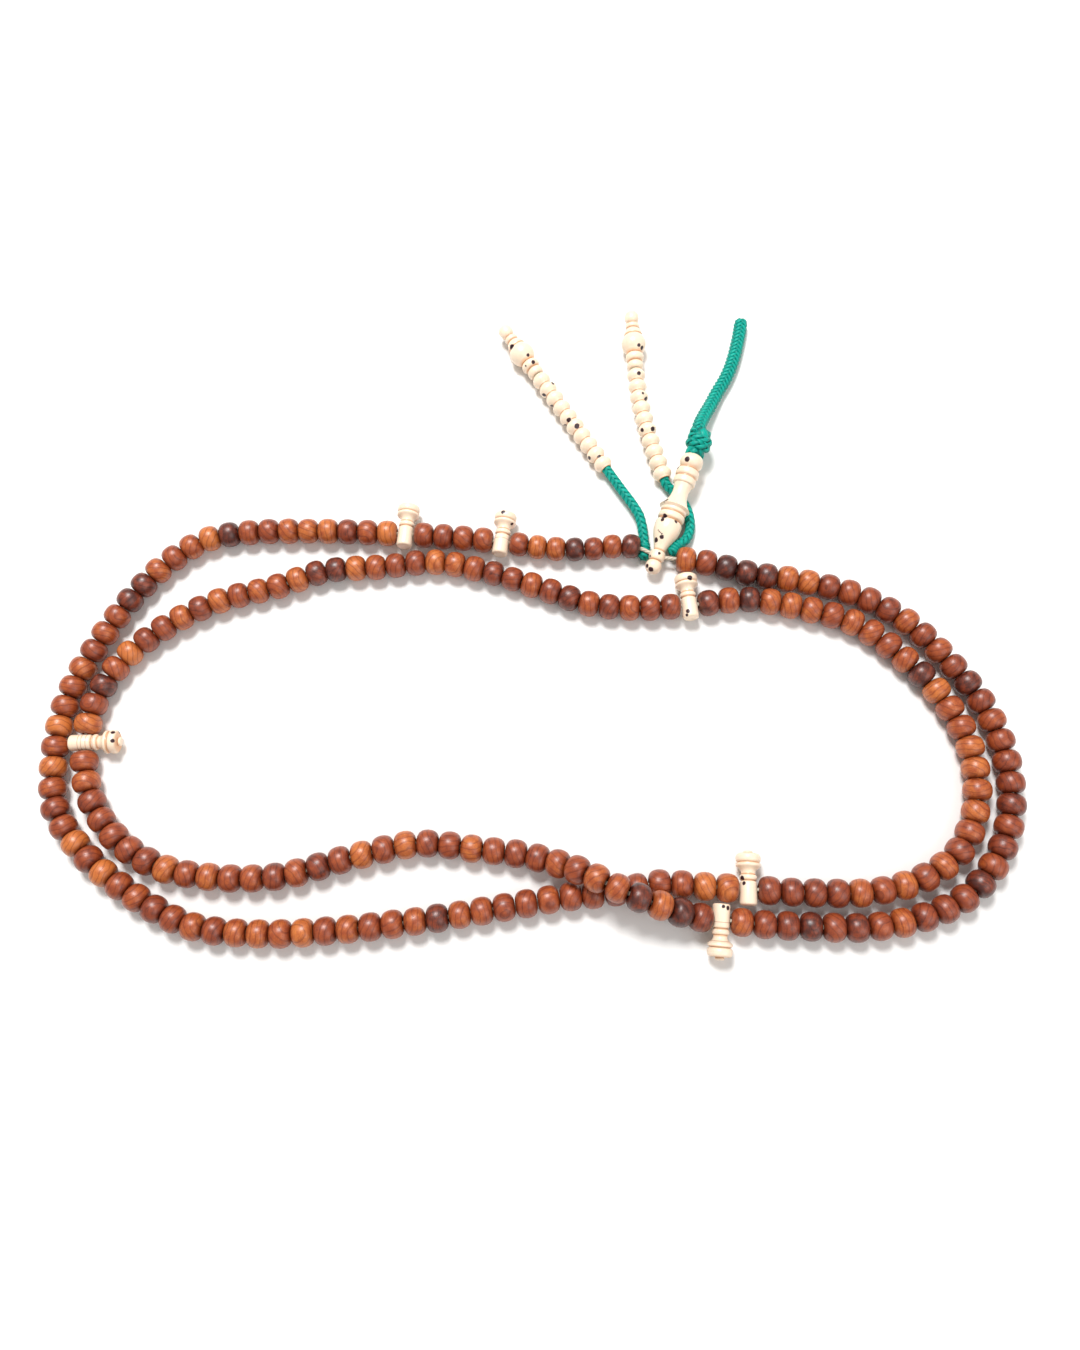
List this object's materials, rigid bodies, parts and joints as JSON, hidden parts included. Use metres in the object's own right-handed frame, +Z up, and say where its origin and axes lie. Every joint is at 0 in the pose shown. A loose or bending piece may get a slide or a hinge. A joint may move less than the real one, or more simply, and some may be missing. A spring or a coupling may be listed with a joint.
{
  "type": "prayer beads",
  "caption": "Long closed string of small wooden prayer beads laid in two turns, with turned marker pieces, a turned head piece, two sliding-bead counter strings and a braided cord end.",
  "frame": {"origin": "middle of the laid-out loop in plan, on the surface the beads lie on", "axes": "+X along the loop's long side, +Y towards the counter strings and the cord end, +Z up from the surface"},
  "size_m": [0.2828, 0.2066, 0.0163],
  "materials": {
    "wood": "satin, hand-polished brown wood, each bead its own tone",
    "turned_ivory_resin": "polished cream, with dark brown inlaid dots",
    "braid": "glossy teal plaited cord",
    "thread": "plain twisted natural thread"
  },
  "bodies": {
    "string": {"main_string": "thread", "outer_beads_top": "wood", "outer_beads_left": "wood", "outer_beads_front": "wood", "inner_beads_right_low": "wood", "inner_beads_right_high": "wood", "inner_beads_top": "wood", "inner_beads_left": "wood", "inner_beads_front": "wood", "crossing_beads": "wood", "outer_beads_right_low": "wood", "outer_beads_right_high": "wood", "left_cord_root": "braid", "right_cord_root": "braid"},
    "marker_1": {"marker_1": "turned_ivory_resin"},
    "marker_2": {"marker_2": "turned_ivory_resin"},
    "marker_3": {"marker_3": "turned_ivory_resin"},
    "marker_4": {"marker_4": "turned_ivory_resin"},
    "marker_5": {"marker_5": "turned_ivory_resin"},
    "marker_6": {"marker_6": "turned_ivory_resin"},
    "head": {"head_piece": "turned_ivory_resin"},
    "knot": {"cord_knot": "braid"},
    "braid_end": {"cord_end": "braid"},
    "left_tail": {"left_cord": "braid", "left_finial": "turned_ivory_resin"},
    "right_tail": {"right_cord": "braid", "right_finial": "turned_ivory_resin"},
    "left_counter_1": {"left_counter_1": "turned_ivory_resin"},
    "left_counter_2": {"left_counter_2": "turned_ivory_resin"},
    "left_counter_3": {"left_counter_3": "turned_ivory_resin"},
    "left_counter_4": {"left_counter_4": "turned_ivory_resin"},
    "left_counter_5": {"left_counter_5": "turned_ivory_resin"},
    "left_counter_6": {"left_counter_6": "turned_ivory_resin"},
    "left_counter_7": {"left_counter_7": "turned_ivory_resin"},
    "left_counter_8": {"left_counter_8": "turned_ivory_resin"},
    "left_counter_9": {"left_counter_9": "turned_ivory_resin"},
    "left_counter_10": {"left_counter_10": "turned_ivory_resin"},
    "right_counter_1": {"right_counter_1": "turned_ivory_resin"},
    "right_counter_2": {"right_counter_2": "turned_ivory_resin"},
    "right_counter_3": {"right_counter_3": "turned_ivory_resin"},
    "right_counter_4": {"right_counter_4": "turned_ivory_resin"},
    "right_counter_5": {"right_counter_5": "turned_ivory_resin"},
    "right_counter_6": {"right_counter_6": "turned_ivory_resin"},
    "right_counter_7": {"right_counter_7": "turned_ivory_resin"},
    "right_counter_8": {"right_counter_8": "turned_ivory_resin"},
    "right_counter_9": {"right_counter_9": "turned_ivory_resin"},
    "right_counter_10": {"right_counter_10": "turned_ivory_resin"},
    "lead_bead_1": {"lead_bead_1": "wood"},
    "lead_bead_2": {"lead_bead_2": "wood"},
    "lead_bead_3": {"lead_bead_3": "wood"},
    "lead_bead_4": {"lead_bead_4": "wood"},
    "lead_bead_5": {"lead_bead_5": "wood"},
    "lead_bead_6": {"lead_bead_6": "wood"},
    "lead_bead_7": {"lead_bead_7": "wood"},
    "spacer_bead_1": {"spacer_bead_1": "wood"},
    "spacer_bead_2": {"spacer_bead_2": "wood"},
    "spacer_bead_3": {"spacer_bead_3": "wood"},
    "spacer_bead_4": {"spacer_bead_4": "wood"}
  },
  "joints": [
    {"name": "marker_1_lift", "type": "hinge", "parent": "string", "child": "marker_1", "pos_m": [-0.0088, 0.01988, 0.004], "axis": [0.9937, -0.1117, 0], "range_deg": [0, 120]},
    {"name": "marker_2_lift", "type": "hinge", "parent": "string", "child": "marker_2", "pos_m": [-0.0387, 0.02213, 0.004], "axis": [0.999, -0.045, 0], "range_deg": [0, 120]},
    {"name": "marker_3_lift", "type": "hinge", "parent": "string", "child": "marker_3", "pos_m": [0.06334, -0.08348, 0.004], "axis": [0.9994, -0.0349, 0], "range_deg": [0, 120]},
    {"name": "marker_4_lift", "type": "hinge", "parent": "string", "child": "marker_4", "pos_m": [0.04853, -0.00006, 0.004], "axis": [0.9942, 0.1077, 0], "range_deg": [0, 115]},
    {"name": "marker_5_lift", "type": "hinge", "parent": "string", "child": "marker_5", "pos_m": [-0.12866, -0.04616, 0.004], "axis": [0.0677, -0.9977, 0], "range_deg": [0, 115]},
    {"name": "marker_6_lift", "type": "hinge", "parent": "string", "child": "marker_6", "pos_m": [0.05565, -0.09191, 0.00423], "axis": [-0.9984, 0.0559, 0], "range_deg": [0, 120]},
    {"name": "head_lift", "type": "hinge", "parent": "string", "child": "head", "pos_m": [0.039, 0.0158, 0.004], "axis": [0.9448, -0.3277, 0], "range_deg": [0, 75]},
    {"name": "cord_end_swing", "type": "hinge", "parent": "head", "child": "knot", "pos_m": [0.05189, 0.05297, 0.00696], "axis": [0, 0, 1], "range_deg": [-30, 12]},
    {"name": "cord_end_droop", "type": "hinge", "parent": "knot", "child": "braid_end", "pos_m": [0.05189, 0.05297, 0.00696], "axis": [0.9541, -0.2994, 0], "range_deg": [-106, 0]},
    {"name": "left_tail_swing", "type": "hinge", "parent": "string", "child": "left_tail", "pos_m": [0.0323, 0.0326, 0.0027], "axis": [0, 0, 1], "range_deg": [-4, 35]},
    {"name": "right_tail_swing", "type": "hinge", "parent": "string", "child": "right_tail", "pos_m": [0.0422, 0.041, 0.0023], "axis": [0, 0, 1], "range_deg": [0, 10]},
    {"name": "left_counter_1_slide", "type": "slide", "parent": "left_tail", "child": "left_counter_1", "axis": [0.5606, -0.8278, -0.0217], "range_m": [0, 0.009]},
    {"name": "left_counter_2_slide", "type": "slide", "parent": "left_tail", "child": "left_counter_2", "axis": [0.5606, -0.8278, -0.0217], "range_m": [0, 0.0081]},
    {"name": "left_counter_3_slide", "type": "slide", "parent": "left_tail", "child": "left_counter_3", "axis": [0.5606, -0.8278, -0.0217], "range_m": [0, 0.0072]},
    {"name": "left_counter_4_slide", "type": "slide", "parent": "left_tail", "child": "left_counter_4", "axis": [0.5606, -0.8278, -0.0217], "range_m": [0, 0.0063]},
    {"name": "left_counter_5_slide", "type": "slide", "parent": "left_tail", "child": "left_counter_5", "axis": [0.5606, -0.8278, -0.0217], "range_m": [0, 0.0054]},
    {"name": "left_counter_6_slide", "type": "slide", "parent": "left_tail", "child": "left_counter_6", "axis": [0.5606, -0.8278, -0.0217], "range_m": [0, 0.0045]},
    {"name": "left_counter_7_slide", "type": "slide", "parent": "left_tail", "child": "left_counter_7", "axis": [0.5606, -0.8278, -0.0217], "range_m": [0, 0.0036]},
    {"name": "left_counter_8_slide", "type": "slide", "parent": "left_tail", "child": "left_counter_8", "axis": [0.5606, -0.8278, -0.0217], "range_m": [0, 0.0027]},
    {"name": "left_counter_9_slide", "type": "slide", "parent": "left_tail", "child": "left_counter_9", "axis": [0.5606, -0.8278, -0.0217], "range_m": [0, 0.0018]},
    {"name": "left_counter_10_slide", "type": "slide", "parent": "left_tail", "child": "left_counter_10", "axis": [0.5606, -0.8278, -0.0217], "range_m": [0, 0.0009]},
    {"name": "right_counter_1_slide", "type": "slide", "parent": "right_tail", "child": "right_counter_1", "axis": [0.3331, -0.9421, -0.039], "range_m": [0, 0.00025]},
    {"name": "right_counter_2_slide", "type": "slide", "parent": "right_tail", "child": "right_counter_2", "axis": [0.3059, -0.952, -0.0072], "range_m": [0, 0.000225]},
    {"name": "right_counter_3_slide", "type": "slide", "parent": "right_tail", "child": "right_counter_3", "axis": [0.2869, -0.9579, -0.0129], "range_m": [0, 0.0002]},
    {"name": "right_counter_4_slide", "type": "slide", "parent": "right_tail", "child": "right_counter_4", "axis": [0.2738, -0.9611, -0.0351], "range_m": [0, 0.000175]},
    {"name": "right_counter_5_slide", "type": "slide", "parent": "right_tail", "child": "right_counter_5", "axis": [0.253, -0.967, -0.0307], "range_m": [0, 0.00015]},
    {"name": "right_counter_6_slide", "type": "slide", "parent": "right_tail", "child": "right_counter_6", "axis": [0.2311, -0.9725, -0.0294], "range_m": [0, 0.000125]},
    {"name": "right_counter_7_slide", "type": "slide", "parent": "right_tail", "child": "right_counter_7", "axis": [0.2115, -0.977, -0.028], "range_m": [0, 0.0001]},
    {"name": "right_counter_8_slide", "type": "slide", "parent": "right_tail", "child": "right_counter_8", "axis": [0.1719, -0.9847, -0.0279], "range_m": [0, 0.000075]},
    {"name": "right_counter_9_slide", "type": "slide", "parent": "right_tail", "child": "right_counter_9", "axis": [0.1139, -0.993, -0.0299], "range_m": [0, 0.00005]},
    {"name": "right_counter_10_slide", "type": "slide", "parent": "right_tail", "child": "right_counter_10", "axis": [0.0934, -0.9953, -0.0238], "range_m": [0, 0.000025]},
    {"name": "lead_bead_1_spin", "type": "hinge", "parent": "string", "child": "lead_bead_1", "pos_m": [0.03105, 0.01899, 0.004], "axis": [-0.9901, 0.1403, 0], "continuous": true},
    {"name": "lead_bead_2_spin", "type": "hinge", "parent": "string", "child": "lead_bead_2", "pos_m": [0.0253, 0.01883, 0.004], "axis": [-0.9934, -0.115, 0], "continuous": true},
    {"name": "lead_bead_3_spin", "type": "hinge", "parent": "string", "child": "lead_bead_3", "pos_m": [0.0196, 0.01796, 0.004], "axis": [-0.9955, -0.0947, 0], "continuous": true},
    {"name": "lead_bead_4_spin", "type": "hinge", "parent": "string", "child": "lead_bead_4", "pos_m": [0.01384, 0.01768, 0.004], "axis": [-1, -0.0069, 0], "continuous": true},
    {"name": "lead_bead_5_spin", "type": "hinge", "parent": "string", "child": "lead_bead_5", "pos_m": [0.00808, 0.0178, 0.004], "axis": [-0.999, 0.0451, 0], "continuous": true},
    {"name": "lead_bead_6_spin", "type": "hinge", "parent": "string", "child": "lead_bead_6", "pos_m": [0.00234, 0.01831, 0.004], "axis": [-0.9918, 0.1274, 0], "continuous": true},
    {"name": "lead_bead_7_spin", "type": "hinge", "parent": "string", "child": "lead_bead_7", "pos_m": [-0.00336, 0.01914, 0.004], "axis": [-0.9889, 0.1488, 0], "continuous": true},
    {"name": "spacer_bead_1_spin", "type": "hinge", "parent": "string", "child": "spacer_bead_1", "pos_m": [-0.01447, 0.02045, 0.004], "axis": [-0.9955, 0.0943, 0], "continuous": true},
    {"name": "spacer_bead_2_spin", "type": "hinge", "parent": "string", "child": "spacer_bead_2", "pos_m": [-0.02064, 0.02099, 0.004], "axis": [-0.9967, 0.081, 0], "continuous": true},
    {"name": "spacer_bead_3_spin", "type": "hinge", "parent": "string", "child": "spacer_bead_3", "pos_m": [-0.02683, 0.02146, 0.004], "axis": [-0.9976, 0.0686, 0], "continuous": true},
    {"name": "spacer_bead_4_spin", "type": "hinge", "parent": "string", "child": "spacer_bead_4", "pos_m": [-0.03301, 0.02184, 0.004], "axis": [-0.9984, 0.0561, 0], "continuous": true}
  ],
  "couplings": [
    {"joint": "cord_end_droop", "follows": "head_lift", "ratio": -1.4},
    {"joint": "left_counter_2_slide", "follows": "left_counter_1_slide", "ratio": 0.9},
    {"joint": "left_counter_3_slide", "follows": "left_counter_1_slide", "ratio": 0.8},
    {"joint": "left_counter_4_slide", "follows": "left_counter_1_slide", "ratio": 0.7},
    {"joint": "left_counter_5_slide", "follows": "left_counter_1_slide", "ratio": 0.6},
    {"joint": "left_counter_6_slide", "follows": "left_counter_1_slide", "ratio": 0.5},
    {"joint": "left_counter_7_slide", "follows": "left_counter_1_slide", "ratio": 0.4},
    {"joint": "left_counter_8_slide", "follows": "left_counter_1_slide", "ratio": 0.3},
    {"joint": "left_counter_9_slide", "follows": "left_counter_1_slide", "ratio": 0.2},
    {"joint": "left_counter_10_slide", "follows": "left_counter_1_slide", "ratio": 0.1},
    {"joint": "right_counter_2_slide", "follows": "right_counter_1_slide", "ratio": 0.9},
    {"joint": "right_counter_3_slide", "follows": "right_counter_1_slide", "ratio": 0.8},
    {"joint": "right_counter_4_slide", "follows": "right_counter_1_slide", "ratio": 0.7},
    {"joint": "right_counter_5_slide", "follows": "right_counter_1_slide", "ratio": 0.6},
    {"joint": "right_counter_6_slide", "follows": "right_counter_1_slide", "ratio": 0.5},
    {"joint": "right_counter_7_slide", "follows": "right_counter_1_slide", "ratio": 0.4},
    {"joint": "right_counter_8_slide", "follows": "right_counter_1_slide", "ratio": 0.3},
    {"joint": "right_counter_9_slide", "follows": "right_counter_1_slide", "ratio": 0.2},
    {"joint": "right_counter_10_slide", "follows": "right_counter_1_slide", "ratio": 0.1}
  ]
}
